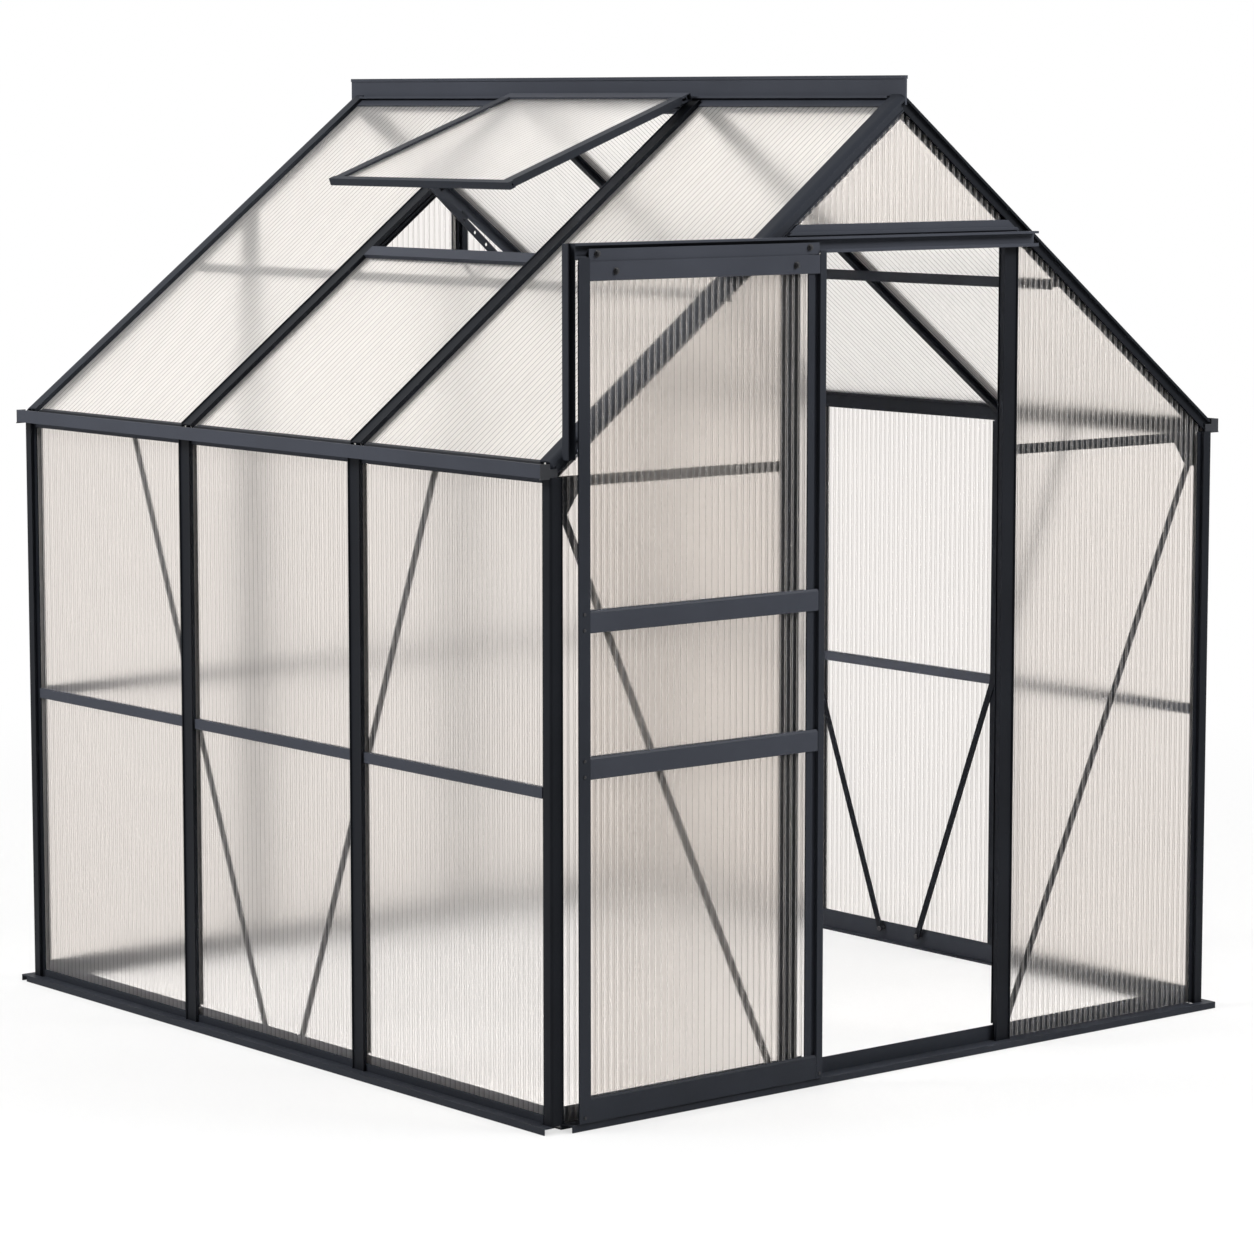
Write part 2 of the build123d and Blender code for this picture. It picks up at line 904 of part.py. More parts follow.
def door_track():
    wall = track_wall
    lip = track_depth - wall
    outline = [
        (0, track_foot),
        (track_depth, track_foot),
        (track_depth, track_foot + track_upstand),
        (lip, track_foot + track_upstand),
        (lip, track_foot + wall),
        (wall, track_foot + wall),
        (wall, track_top - wall),
        (lip, track_top - wall),
        (lip, track_top - track_top_lip),
        (track_depth, track_top - track_top_lip),
        (track_depth, track_top),
        (0, track_top),
    ]
    closed_end = door_width / 2 + track_overhang
    open_end = -strut_left - strut_width
    return front_wall * prism(ALONG, outline, -closed_end, open_end)


def track_strut():
    x = (strut_left, strut_left + strut_width)
    y = (-half_length - track_depth, -half_length)
    z = (eave_height + strut_foot, track_top)
    inside = (x[0] + strut_wall, x[1] - strut_wall)
    return block(x, y, z) - block(inside, (y[0], y[1] - strut_wall), z)


# Door, drawn open at the left; t runs back from its front face
door_front = -half_length - door_standoff - door_depth
door_foot = sill_height + door_floor_gap
door_top = track_foot - door_top_gap
door_groove_front = door_sheet_setback - sheet_clearance
door_groove_back = door_sheet_setback + sheet_thickness + sheet_clearance
plate_back = door_groove_front - door_plate
plate_front = plate_back - door_plate
rail_left = door_left + stile_left_width
rail_right = door_right - stile_right_lip - seat_gap
groove_right = door_right - stile_right_width - seat_gap
sheet_left = door_left + stile_left_web + sheet_edge_gap
sheet_right = door_right - stile_right_channel - stile_plate - sheet_edge_gap
top_rail_top = door_top - seat_gap
top_rail_foot = top_rail_top - door_top_rail
top_web = top_rail_foot + door_top_web
bottom_rail_top = door_foot + door_bottom_rail
bottom_web = door_foot + door_bottom_web


def at_depth(points):
    """Outline in (t, z) as one in the frame's own Y and Z."""
    return [(door_front + t, z) for t, z in points]


def door_strip(points, start, end):
    return prism(ALONG, at_depth(points), start, end)


def door_stile_left():
    width = stile_left_width
    web = stile_left_web
    wall = door_wall
    back = door_groove_back + wall
    top = door_top + stile_tongue
    outline = [
        (0, 0),
        (width, 0),
        (width, door_groove_front),
        (width - wall, door_groove_front),
        (width - wall, wall),
        (web, wall),
        (web, door_groove_back),
        (width, door_groove_back),
        (width, back),
        (web - stile_plate, back),
        (web - stile_plate, wall),
        (wall, wall),
        (wall, stile_left_edge),
        (0, stile_left_edge),
    ]
    stile = prism(STANDING, outline, door_foot, door_top)
    stile += prism(STANDING, rectangle((0, width), (0, wall)), door_top, top)
    radius = stile_left_radius
    through = (-2 * door_depth, 2 * door_depth)
    for centre, edge in ((radius, 0), (width - radius, width)):
        corner = rectangle(sorted((centre, edge)), (top - radius, top))
        stile -= prism(INTO, corner, *through) - rod(INTO, (centre, top - radius), radius, *through)
    return Pos(door_left, door_front, 0) * stile


def door_stile_right():
    wall = stile_plate
    lip = stile_right_lip
    channel = stile_right_channel
    width = stile_right_width
    back = door_groove_back + wall
    floor = stile_channel_depth
    outline = [
        (0, 0),
        (lip, 0),
        (lip, floor),
        (channel, floor),
        (channel, plate_back),
        (width, plate_back),
        (width, door_groove_front),
        (channel + wall, door_groove_front),
        (channel + wall, door_groove_back),
        (stile_right_back, door_groove_back),
        (stile_right_back, back),
        (channel, back),
        (channel, floor + wall),
        (lip, floor + wall),
        (lip, door_depth),
        (0, door_depth),
    ]
    hollow = rectangle((door_wall, lip - door_wall), (door_wall, door_depth - door_wall))
    tongue = rectangle((0, lip), (0, door_wall))
    points = [[(door_right - a, door_front + t) for a, t in shape] for shape in (outline, hollow, tongue)]
    whole = prism(STANDING, points[0], door_foot, door_top)
    whole -= prism(STANDING, points[1], door_foot, door_top)
    return whole + prism(STANDING, points[2], door_top, door_top + stile_tongue)


def rail_plate(low, high):
    """Front plate of a door rail, with a bevel along its top."""
    points = [
        (plate_back, low),
        (plate_front, low),
        (plate_front, high - door_plate_bevel),
        (plate_back, high),
    ]
    return door_strip(points, rail_left, rail_right)


def rail_inside(points):
    return door_strip(points, rail_left, groove_right)


def rail_lip(low):
    return rail_inside(rectangle((plate_back, door_groove_front), (low, low + door_plate)))


def rail_web_plate(low):
    return rail_inside(rectangle((plate_back, door_groove_back), (low, low + door_rail_web)))


def rail_back_plate(low, high):
    return rail_inside(rectangle((door_groove_back, door_groove_back + door_rail_back), (low, high)))


def door_top_rail_piece():
    low = top_rail_foot
    high = top_rail_top
    thin = plate_front + top_rail_edge
    step = high - top_rail_rebate
    plate = [
        (plate_back, low),
        (plate_front, low),
        (plate_front, high),
        (thin, high),
        (thin, step),
        (plate_back, step),
    ]
    whole = door_strip(plate, rail_left, rail_right) + rail_lip(low)
    whole += rail_web_plate(top_web) + rail_back_plate(low, high)
    for place in rail_bolt_places():
        whole -= rod(INTO, place, bolt_hole_radius, -door_front - door_depth, -door_front + door_depth)
    return whole


def door_bottom_rail_piece():
    low = door_foot
    high = bottom_rail_top
    whole = rail_plate(low, high) + rail_lip(high - door_plate - door_plate_bevel)
    return whole + rail_web_plate(bottom_web) + rail_back_plate(low, high)


def door_mid_rail_piece(centre):
    low = centre - door_mid_rail / 2
    high = centre + door_mid_rail / 2
    whole = rail_plate(low, high) + rail_lip(low) + rail_lip(high - door_plate - door_plate_bevel)
    return whole + rail_web_plate(centre - door_rail_web / 2) + rail_back_plate(low, high)


def door_hanger():
    t = (door_front + plate_back, door_front + door_groove_front)
    split = door_top + seat_gap
    low = top_web + door_rail_web
    whole = block((rail_left, groove_right), t, (low, split))
    whole += block((rail_left, rail_right), t, (split, door_top + hanger_height))
    for place in axle_places():
        whole -= rod(INTO, place, axle_radius + seat_gap, -t[1], -t[0])
    for place in rail_bolt_places():
        whole -= rod(INTO, place, bolt_hole_radius, -t[1], -t[0])
    return whole


def door_sheet_pieces():
    y = (door_front + door_sheet_setback, door_front + door_sheet_setback + sheet_thickness)
    web = door_rail_web / 2 + sheet_edge_gap
    bounds = [bottom_web + door_rail_web + sheet_edge_gap]
    for centre in door_mid_rail_heights:
        bounds += [centre - web, centre + web]
    bounds.append(top_web - sheet_edge_gap)
    return [block((sheet_left, sheet_right), y, span) for span in zip(bounds[::2], bounds[1::2])]


axle_height = track_foot + track_wall + wheel_clearance + wheel_radius
wheel_front = -half_length - track_depth + track_wall + 2 * wheel_clearance
wheel_back = wheel_front + wheel_width


def axle_places():
    return [(x, axle_height) for x in (door_left + axle_inset_left, door_right - axle_inset_right)]


def rail_bolt_places():
    height = top_rail_foot + rail_bolt_height
    return [(x, height) for x in (door_left + rail_bolt_inset_left, door_right - rail_bolt_inset_right)]


def hex_head(place, face):
    """Washer, nut and bolt end standing out of a face that looks along -Y."""
    washer = bolt_washer - face
    end = washer + bolt_head_height
    shape = Pos(*place) * RegularPolygon(bolt_head_radius, 6)
    whole = rod(INTO, place, bolt_washer_radius, -face, washer)
    whole += extrude(INTO.offset(washer) * shape, bolt_head_height)
    return whole + rod(INTO, place, bolt_radius, end, end + bolt_end)


def door_screws():
    """Screw heads on the front of the stiles, where the rails are fastened."""
    low = door_foot + screw_foot
    left = [low] + [z + side * screw_spread / 2 for z in door_mid_rail_heights for side in (-1, 1)]
    places = [(door_left + screw_inset, z) for z in left] + [(door_right - stile_right_lip / 2, low)]
    return [rod(INTO, place, screw_radius, -door_front, screw_height - door_front) for place in places]


def axle(place):
    """Wheel axle: a head before the hanger, a collar each side of the wheel."""
    front = door_front + plate_back
    back = door_front + door_groove_front
    end = wheel_back + wheel_clearance + axle_collar_radius / 2
    whole = hex_head(place, front) + rod(INTO, place, axle_radius, -end, -front)
    whole += rod(INTO, place, axle_collar_radius, wheel_clearance - wheel_front, -back)
    return whole + rod(INTO, place, axle_collar_radius, -end, -wheel_back - wheel_clearance)


def rail_bolt(place):
    """Bolt through the top rail into the hanger behind it."""
    front = door_front + plate_front
    back = door_front + door_groove_front
    return hex_head(place, front) + rod(INTO, place, bolt_radius, -back, -front)


def door_wheel(place):
    """Grooved roller, turned about its own axle."""
    rim = wheel_radius
    bore = axle_radius + axle_clearance
    edge = wheel_width / 6
    outline = [
        (bore, 0),
        (rim - edge / 2, 0),
        (rim, edge / 2),
        (rim, edge),
        (rim - edge, 2 * edge),
        (rim - edge, wheel_width - 2 * edge),
        (rim, wheel_width - edge),
        (rim, wheel_width - edge / 2),
        (rim - edge / 2, wheel_width),
        (bore, wheel_width),
    ]
    profile = make_face(Polyline(*[(x, y, 0) for x, y in outline], close=True))
    return Pos(place[0], wheel_front, place[1]) * revolve(profile, Axis.Y)


def glides():
    y = door_front + door_depth / 2
    pads = []
    for x in (rail_left, groove_right - glide_length):
        spans = ((x, x + glide_length), (y - glide_width / 2, y + glide_width / 2))
        pads.append(block(*spans, (sill_height + glide_clearance, door_foot)))
    return pads


# Roof vent, in the frame of the left slope and shut
vent_foot = vent_lift
vent_top = vent_lift + vent_depth
vent_sheet_low = vent_lift + vent_sheet_setback
vent_groove_low = vent_sheet_low - sheet_clearance
vent_groove_high = vent_sheet_low + sheet_thickness + sheet_clearance
vent_half = stud + vent_overlap
vent_inner = vent_half - vent_stile_width
vent_hinge_end = vent_hinge_start + vent_hinge_width
bead_x = ridge_hook / 2 - ridge_hook_lip - vent_bead_radius - seat_gap
bead_z = ridge_foot - vent_bead_radius - vent_bead_clearance
bead_s = bead_x * run + (apex - bead_z) * rise
bead_n = bead_x * rise - (apex - bead_z) * run
hinge_axis = Axis((-bead_x, 0, bead_z), (0, 1, 0))


def opened(piece):
    """Place a vent piece on the left slope and turn it to the open rest position."""
    return (left_slope * piece).rotate(hinge_axis, vent_angle)


def vent_hinge_bar():
    start = vent_hinge_start
    end = vent_hinge_end
    floor = end - vent_groove
    outline = [
        (vent_foot, start),
        (vent_top, start),
        (vent_top, end),
        (vent_groove_high, end),
        (vent_groove_high, floor),
        (vent_groove_low, floor),
        (vent_groove_low, end),
        (vent_foot, end),
    ]
    hollow = rectangle(
        (vent_foot + vent_wall, vent_top - vent_wall),
        (start + vent_wall, floor - vent_wall),
    )
    whole = prism(ALONG, outline, -vent_half, vent_half) - prism(ALONG, hollow, -vent_half, vent_half)
    reach = stud - bar_width / 2 - bar_wall
    half = vent_neck / 2
    neck = rectangle((bead_n - half, bead_n + half), (bead_s, start + vent_wall))
    riser = rectangle((bead_n - half, vent_foot + vent_wall / 2), (start, start + vent_wall))
    whole += prism(ALONG, neck, -reach, reach) + prism(ALONG, riser, -reach, reach)
    return whole + rod(ALONG, (bead_n, bead_s), vent_bead_radius, -reach, reach)


def vent_stile(side):
    groove = vent_inner + vent_groove
    outline = [
        (vent_half, vent_foot),
        (vent_half, vent_top),
        (vent_inner, vent_top),
        (vent_inner, vent_groove_high),
        (groove, vent_groove_high),
        (groove, vent_groove_low),
        (vent_inner, vent_groove_low),
        (vent_inner, vent_foot),
    ]
    hollow = rectangle(
        (groove + vent_wall, vent_half - vent_wall),
        (vent_foot + vent_wall, vent_top - vent_wall),
    )
    shapes = [[(side * x, n) for x, n in points] for points in (outline, hollow)]
    whole = prism(STANDING, shapes[0], vent_hinge_end, vent_length)
    return whole - prism(STANDING, shapes[1], vent_hinge_end, vent_length)


def vent_bottom_bar():
    floor = vent_length + vent_bottom_groove
    end = vent_length + vent_bottom_width
    outline = [
        (vent_foot, vent_length),
        (vent_groove_low, vent_length),
        (vent_groove_low, floor),
        (vent_groove_high, floor),
        (vent_groove_high, vent_length),
        (vent_top, vent_length),
        (vent_top, end),
        (vent_foot, end),
    ]
    reach = vent_half + vent_bottom_overhang
    return prism(ALONG, outline, -reach, reach)


def vent_sheet():
    reach = vent_inner + vent_groove - sheet_edge_gap
    start = vent_hinge_end - vent_groove + sheet_edge_gap
    end = vent_length + vent_bottom_groove - sheet_edge_gap
    return block((-reach, reach), (vent_sheet_low, vent_sheet_low + sheet_thickness), (start, end))


# Stay of the vent: hung from a bracket under the bottom bar, beside a peg on the vent sill
pivot_s = vent_length - stay_pivot_inset
pivot_n = -stay_pivot_depth


def vent_bracket():
    near = stay_thickness / 2 + seat_gap
    far = near + bracket_ear
    edge = vent_length - bracket_gap
    high = vent_groove_low - bracket_gap
    low = pivot_n - bracket_radius
    ear = [
        (high, edge),
        (vent_foot - bracket_gap, edge),
        (low, pivot_s + bracket_radius),
        (low, pivot_s - bracket_radius),
        (pivot_n + bracket_radius, pivot_s - bracket_radius),
        (high, pivot_s + bracket_radius),
    ]
    pad = block(
        (-bracket_width / 2, bracket_width / 2),
        (vent_foot, high),
        (pivot_s + bracket_radius, vent_length),
    )
    whole = pad + prism(ALONG, ear, near, far) + prism(ALONG, ear, -far, -near)
    return whole + rod(ALONG, (pivot_n, pivot_s), stay_pin_radius, -far, far)


def pivot_open():
    """The stay's pivot, in the slope frame, with the vent at rest."""
    turn = math.radians(vent_angle)
    s = pivot_s - bead_s
    n = pivot_n - bead_n
    turned = (s * math.cos(turn) - n * math.sin(turn), s * math.sin(turn) + n * math.cos(turn))
    return bead_s + turned[0], bead_n + turned[1]


def peg_place():
    """Where the stay passes the peg's height at rest."""
    s, n = pivot_open()
    return s + (n + peg_depth) * math.tan(math.radians(stay_tilt)), -peg_depth


def vent_stay():
    """Flat bar with rounded ends, a pivot hole and a row of holes, one of them at the peg."""
    lean = math.radians(stay_tilt - vent_angle)
    direction = (-math.cos(lean), math.sin(lean))

    def along(distance):
        return pivot_n + distance * direction[0], pivot_s + distance * direction[1]

    turn = math.degrees(math.atan2(direction[1], direction[0]))
    shape = Pos(*along(stay_length / 2)) * SlotCenterToCenter(stay_length, stay_width, rotation=turn)
    shape -= Pos(*along(0)) * Circle(stay_pin_radius + axle_clearance)
    at_peg = (pivot_open()[1] + peg_depth) / math.cos(math.radians(stay_tilt))
    for step in (-3, -2, -1, 0):
        shape -= Pos(*along(at_peg + step * stay_hole_pitch)) * Circle(stay_hole_radius)
    return extrude(ALONG.offset(-stay_thickness / 2) * shape, stay_thickness)


def stay_peg():
    """Strap bent down from under the vent sill, with a peg that the stay hangs on."""
    s, n = peg_place()
    seat = -groove_back - bar_wall
    low = n - 2 * peg_radius
    bend = vent_length + peg_tab
    x = (peg_tab_offset, peg_tab_offset + peg_tab_width)
    side = (peg_tab_offset, peg_tab_offset + peg_tab)
    tip = stay_thickness / 2 + peg_tip_gap
    whole = block(x, (seat - peg_tab, seat), (vent_length, vent_length + vent_sill_width))
    whole += block(x, (low, seat), (vent_length, bend))
    whole += block(side, (low, n + 2 * peg_radius), (s - 2 * peg_radius, bend))
    return whole + rod(ALONG, (n, s), peg_radius, tip, side[1])


# Base
save("sill_left", left_wall * side_sill())
save("sill_right", right_wall * side_sill())
save("sill_front", front_wall * gable_sill(False))
save("sill_back", back_wall * gable_sill(True))

# Uprights
post_front_left = corner_post()
post_front_right = mirror(post_front_left, about=Plane.YZ)
save("post_front_left", post_front_left)
save("post_front_right", post_front_right)
save("post_back_left", mirror(post_front_left, about=Plane.XZ))
save("post_back_right", mirror(post_front_right, about=Plane.XZ))
save("studs_left", *[left_wall * side_stud(u) for u in (-stud, stud)])
save("studs_right", *[right_wall * side_stud(u) for u in (-stud, stud)])
save("studs_back", *[back_wall * gable_stud(u, apex) for u in (-door_post, door_post)])
save("door_post_left", front_wall * gable_stud(door_post, tie_foot))
save("door_post_right", front_wall * gable_stud(-door_post, tie_foot))

# Rails, tie and bracing
side_rails = [mid_rail(*span) for span in rail_spans((-stud, stud), half_length)]
back_rails = [mid_rail(*span) for span in rail_spans((-door_post, door_post), half_width)]
placed_rails = [wall * rail for wall in side_walls for rail in side_rails]
save("mid_rails", *placed_rails, *[back_wall * rail for rail in back_rails])
save("gable_tie", front_wall * gable_tie())
save("cross_bars", *[front_wall * cross_bar(side) for side in (-1, 1)])
save("gusset_plates", *[front_wall * gusset(side) for side in (-1, 1)])
front_braces, front_bolts = front_bracing()
side_braces, side_bolts = side_bracing()
braced = [(front_wall, front_braces, front_bolts)]
braced += [(wall, side_braces, side_bolts) for wall in side_walls]
save("wall_braces", *[wall * brace for wall, braces, bolts in braced for brace in braces])
save("brace_bolts", *[wall * bolt for wall, braces, bolts in braced for bolt in bolts])

# Roof
save("gutter_left", left_wall * gutter())
save("gutter_right", right_wall * gutter())
save("end_caps", *[wall * cap for wall in side_walls for cap in gutter_caps()])
save("eave_strips", *[wall * strip for wall in side_walls for strip in eave_strips()])
rafter_front_left = gable_rafter()
rafter_front_right = mirror(rafter_front_left, about=Plane.YZ)
save("rafter_front_left", rafter_front_left)
save("rafter_front_right", rafter_front_right)
save("rafter_back_left", mirror(rafter_front_left, about=Plane.XZ))
save("rafter_back_right", mirror(rafter_front_right, about=Plane.XZ))
save("roof_bars_left", *[roof_bar(e, left_slope) for e in (-stud, stud)])
save("roof_bars_right", *[roof_bar(e, right_slope) for e in (-stud, stud)])
save("purlins", left_slope * purlin(), right_slope * purlin())
save("ridge_front", ridge(-half_length, -stud))
save("ridge_rear", ridge(-stud, half_length + ridge_back_overhang))
save("vent_sill", left_slope * vent_sill())
save("stay_peg", left_slope * stay_peg())

# Sheets
save("sheets_left", *[left_wall * piece for piece in side_sheets()])
save("sheets_right", *[right_wall * piece for piece in side_sheets()])
save("sheets_back", *[back_wall * piece for piece in back_sheets()])
save("sheets_front", *[front_wall * piece for piece in front_sheets()])
save("sheets_roof_left", *roof_sheets(left_slope, True))
save("sheets_roof_right", *roof_sheets(right_slope, False))

# Door, its track and its wheels
save("door_track", door_track())
save("track_strut", track_strut())
save("door_stile_left", door_stile_left())
save("door_stile_right", door_stile_right())
save("door_top_rail", door_top_rail_piece())
save("door_mid_rails", *[door_mid_rail_piece(z) for z in door_mid_rail_heights])
save("door_bottom_rail", door_bottom_rail_piece())
save("door_hanger", door_hanger())
save("door_sheets", *door_sheet_pieces())
save("door_bolts", *[axle(place) for place in axle_places()], *[rail_bolt(p) for p in rail_bolt_places()])
save("door_screws", *door_screws())
save("door_glides", *glides())
wheel_left, wheel_right = [door_wheel(place) for place in axle_places()]
save("door_wheel_left", wheel_left)
save("door_wheel_right", wheel_right)

# Vent and its stay
save("vent_hinge_bar", opened(vent_hinge_bar()))
save("vent_stiles", opened(vent_stile(-1)), opened(vent_stile(1)))
save("vent_bottom_bar", opened(vent_bottom_bar()))
save("vent_sheet", opened(vent_sheet()))
save("vent_bracket", opened(vent_bracket()))
save("vent_stay", opened(vent_stay()))

# Where the joints turn and slide
print("door travel", -(door_left + door_right) / 2)
print("wheel axles", axle_places(), "between", wheel_front, wheel_back)
print("vent hinge", -bead_x, bead_z)
stay_pivot = left_slope * Pos(0, pivot_open()[1], pivot_open()[0])
print("stay pivot", stay_pivot.position)
print("apex", apex, "tie", tie_foot, "track", track_foot)
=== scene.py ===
import math

import bmesh
import bpy
from mathutils import Matrix, Vector

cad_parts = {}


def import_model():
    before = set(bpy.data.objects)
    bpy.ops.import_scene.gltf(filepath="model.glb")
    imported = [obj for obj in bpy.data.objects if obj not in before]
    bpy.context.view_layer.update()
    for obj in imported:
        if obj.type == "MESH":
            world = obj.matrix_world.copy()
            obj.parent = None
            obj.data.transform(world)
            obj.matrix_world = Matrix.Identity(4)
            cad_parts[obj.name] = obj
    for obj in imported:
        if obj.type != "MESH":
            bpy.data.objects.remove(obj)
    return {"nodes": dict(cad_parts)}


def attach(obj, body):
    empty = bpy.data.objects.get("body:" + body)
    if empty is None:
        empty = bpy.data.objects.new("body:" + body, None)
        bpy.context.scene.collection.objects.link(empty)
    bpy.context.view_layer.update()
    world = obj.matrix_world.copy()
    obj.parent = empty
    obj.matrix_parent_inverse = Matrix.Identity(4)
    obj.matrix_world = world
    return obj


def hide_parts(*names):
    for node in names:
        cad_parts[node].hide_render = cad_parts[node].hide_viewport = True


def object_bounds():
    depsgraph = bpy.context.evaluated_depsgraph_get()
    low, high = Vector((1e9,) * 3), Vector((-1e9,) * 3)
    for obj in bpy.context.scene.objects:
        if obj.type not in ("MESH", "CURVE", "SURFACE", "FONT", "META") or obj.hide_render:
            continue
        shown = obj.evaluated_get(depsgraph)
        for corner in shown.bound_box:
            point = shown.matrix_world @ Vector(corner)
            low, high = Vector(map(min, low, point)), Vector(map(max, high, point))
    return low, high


# A dark aluminium greenhouse with ribbed twin-wall sheets. Metres, +Z up, the door faces -Y.
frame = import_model()
cad_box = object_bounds()
nodes = frame["nodes"]

# Camera, as fitted to the photograph
CAMERA_PLACE = (-5.966, -7.305, 1.991)
CAMERA_YAW = 39.48
CAMERA_DOWN = 7.01
IMAGE_SIDE = 1254
FOCAL_PIXELS = 4269
SENSOR_WIDTH = 36
CLIP_END = 200

# Twin-wall sheet. The skin is what covers the ribs on each face, and each cell between two ribs
# has this many columns of faces.
RIB_PITCH = 0.016
RIB_THICKNESS = 0.0011
RIB_END_MARGIN = 0.001
SKIN_THICKNESS = 0.0006
FLUTE_DEPTH = 0.000015
FLUTE_STEPS = 6
SHARP_ANGLE = 40

# How the corners of a CAD sheet are read. The last two are in thicknesses: how far the two edges
# of a slanted end can lie apart, and how far a top falls before it counts as sloped.
SAME_POINT = 1e-6
SAME_PLACE = 1e-4
POINT_DIGITS = 6
END_CUT = 2
SLOPED_TOP = 4

# Tape that closes the foot of each roof sheet between its bars
TAPE_WIDTH = 0.007
TAPE_THICKNESS = 0.0006
TAPE_INSET = 0.022

# Grain of the coats and mouldings, slow patches in their tone and gloss, and rounded edges
GRAIN_SCALE = 900
GRAIN_DETAIL = 3
GRAIN_DEPTH = 0.0002
GRAIN_BUMP = 0.25
GRAIN_SHARE = 0.5
PATCH_SCALE = 5.0
PATCH_DETAIL = 4
PATCH_ROUGHNESS = 0.6
PATCH_RANGE = (0.35, 0.65)
EDGE_RADIUS = 0.0008
EDGE_SAMPLES = 4

# Plastic of the sheets. A low refraction keeps the veil of reflections thin.
SHEET_IOR = 1.12
SHEET_ROUGHNESS = (0.27, 0.32)
SHEET_HAZE_SCALE = 9
SHEET_HAZE_DETAIL = 3
SHEET_SHADOW = (0.97, 0.96, 0.95, 1)
RIB_STREAK_SCALE = 14
RIB_STREAK_TONE = 0.9
RIB_ROUGHNESS = 0.5
RIB_ALPHA = 0.04

# Colours, linear
COAT_COLOUR = (0.032, 0.035, 0.044, 1)
# The next two are the same coat darkened, as painted shade for pieces that stand in shade; the second
# is deeper
COAT_PAINTED_SHADE = (0.016, 0.018, 0.023, 1)
COAT_PAINTED_DEEP_SHADE = (0.006, 0.0068, 0.0088, 1)
BOLT_COLOUR = (0.012, 0.012, 0.014, 1)
PLASTIC_COLOUR = (0.012, 0.013, 0.016, 1)
SHEET_COLOUR = (0.935, 0.905, 0.88, 1)
# Strips beside each rib: a painted highlight strip, then a painted shade strip
HIGHLIGHT_STRIP_COLOUR = (0.99, 0.97, 0.95, 1)
PAINTED_SHADE_STRIP_COLOUR = (0.43, 0.41, 0.39, 1)
# The roof's plastic is the walls' plastic painted lighter, as painted light on the roof
ROOF_PAINTED_LIGHT_COLOUR = (0.98, 0.955, 0.93, 1)
# The roof's painted shade strip, deeper than the walls'
ROOF_PAINTED_SHADE_STRIP = (0.26, 0.25, 0.24, 1)
RIB_COLOUR = (0.60, 0.58, 0.56, 1)
FLOOR_COLOUR = (0.93, 0.93, 0.93, 1)
WHITE = (1, 1, 1, 1)

# Light
WORLD_LIGHT = 0.2
WORLD_WHITE = 1.0
LAMPS = {
    "key": {
        "place": (1.6, -3.6, 3.9),
        "target": (-0.3, -0.9, 0.9),
        "size": (1.6, 1.4),
        "power": 230,
    },
    "fill": {
        "place": (-3.7, 1.0, 3.9),
        "target": (-0.9, 0, 0.9),
        "size": (1.4, 1.6),
        "power": 240,
    },
    "back": {
        "place": (3.4, 3.2, 3.6),
        "target": (0.5, 0.5, 0.9),
        "size": (2.0, 1.8),
        "power": 45,
    },
}

# Floor: the share of its white that is its own glow, the distances over which that share grows to
# one, and how dark and how wide the painted shade in that glow is where something stands on it
FLOOR_HALF = 60
FLOOR_DROP = 0.0005
FLOOR_WHITE = 0.85
FLOOR_FADE = (2.0, 5.0)
FLOOR_CLOUD_SCALE = 0.6
FLOOR_CLOUD_TONE = 0.99
PAINTED_SHADE_REACH = 2.0
PAINTED_SHADE_DARKNESS = 0.72
CONTACT_SAMPLES = 8

# Places of the two sides and of the result among a Mix node's sockets
MIX_PLACES = {"RGBA": (6, 7, 2), "FLOAT": (2, 3, 0)}


class Nodes:
    """Adds nodes to a tree, with their settings made and their inputs linked or set."""

    def __init__(self, tree):
        self.tree = tree

    def feed(self, socket, source):
        """Links a socket to another one, or sets its value."""
        if isinstance(source, bpy.types.NodeSocket):
            self.tree.links.new(source, socket)
        else:
            socket.default_value = source

    def add(self, kind, inputs=None, **settings):
        """A new node. Its inputs are called by their names or by their places."""
        node = self.tree.nodes.new(kind)
        for name, value in settings.items():
            setattr(node, name, value)
        for place, source in (inputs or {}).items():
            self.feed(node.inputs[place], source)
        return node

    def maths(self, operation, *terms):
        """The result of a Math node."""
        return self.add("ShaderNodeMath", dict(enumerate(terms)), operation=operation).outputs[0]

    def mix(self, kind, share, first, second):
        """A colour (RGBA) or a number (FLOAT) between two others."""
        first_place, second_place, result = MIX_PLACES[kind]
        inputs = {0: share, first_place: first, second_place: second}
        return self.add("ShaderNodeMix", inputs, data_type=kind).outputs[result]

    def blend(self, share, first, second):
        """A shader between two others."""
        return self.add("ShaderNodeMixShader", {0: share, 1: first, 2: second}).outputs[0]

    def noise(self, scale, detail=2, roughness=0.5):
        """A noise texture in the object's own metres."""
        place = self.add("ShaderNodeTexCoord").outputs["Object"]
        inputs = {"Vector": place, "Scale": scale, "Detail": detail, "Roughness": roughness}
        return self.add("ShaderNodeTexNoise", inputs).outputs["Fac"]


def add_sockets(tree, direction, kinds):
    """Gives a node group its inputs or outputs, each called by its name."""
    for kind, names in kinds.items():
        for name in names:
            tree.interface.new_socket(name, in_out=direction, socket_type="NodeSocket" + kind)


def fresh_nodes(block, output_kind):
    """The emptied node tree of a material or a world, and its output's surface socket."""
    block.use_nodes = True
    block.node_tree.nodes.clear()
    maker = Nodes(block.node_tree)
    return maker, maker.add(output_kind).inputs["Surface"]


def new_material(name):
    """A material with an empty node tree."""
    material = bpy.data.materials.new(name)
    return material, *fresh_nodes(material, "ShaderNodeOutputMaterial")


def toned(colour, share):
    """A colour made lighter or darker."""
    return tuple(c * share for c in colour[:3]) + (1,)


